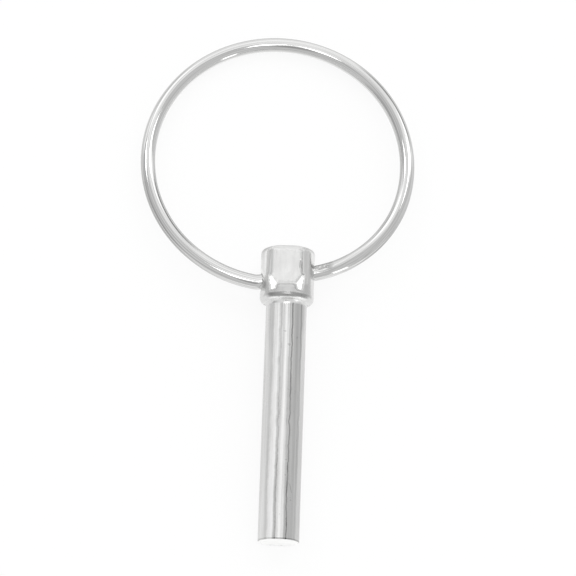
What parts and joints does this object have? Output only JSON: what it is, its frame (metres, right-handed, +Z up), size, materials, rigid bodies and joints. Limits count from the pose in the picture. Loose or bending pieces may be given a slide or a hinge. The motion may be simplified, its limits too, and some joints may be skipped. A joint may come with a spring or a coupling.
{
  "type": "trailer hitch lynch pin",
  "caption": "Headed steel pin with a spring-wire ring hinged in its head, which folds over the shank to keep the pin in a hitch or drawbar hole.",
  "frame": {"origin": "middle of the shoulder on the pin's axis, where the shank leaves the head", "axes": "+Z up from the surface the pin lies on, +Y from the end of the shank towards the open ring, +X to the right"},
  "size_m": [0.0434, 0.0828, 0.0084],
  "materials": {
    "plated_pin": "satin",
    "plated_wire": "polished"
  },
  "bodies": {
    "pin": {"pin": "plated_pin"},
    "ring": {"ring": "plated_wire"}
  },
  "joints": [
    {"name": "ring_swing", "type": "hinge", "parent": "pin", "child": "ring", "pos_m": [0, 0.00428, 0.00011], "axis": [0.9778, 0.2095, 0.0056], "range_deg": [-167.1, 179]}
  ]
}
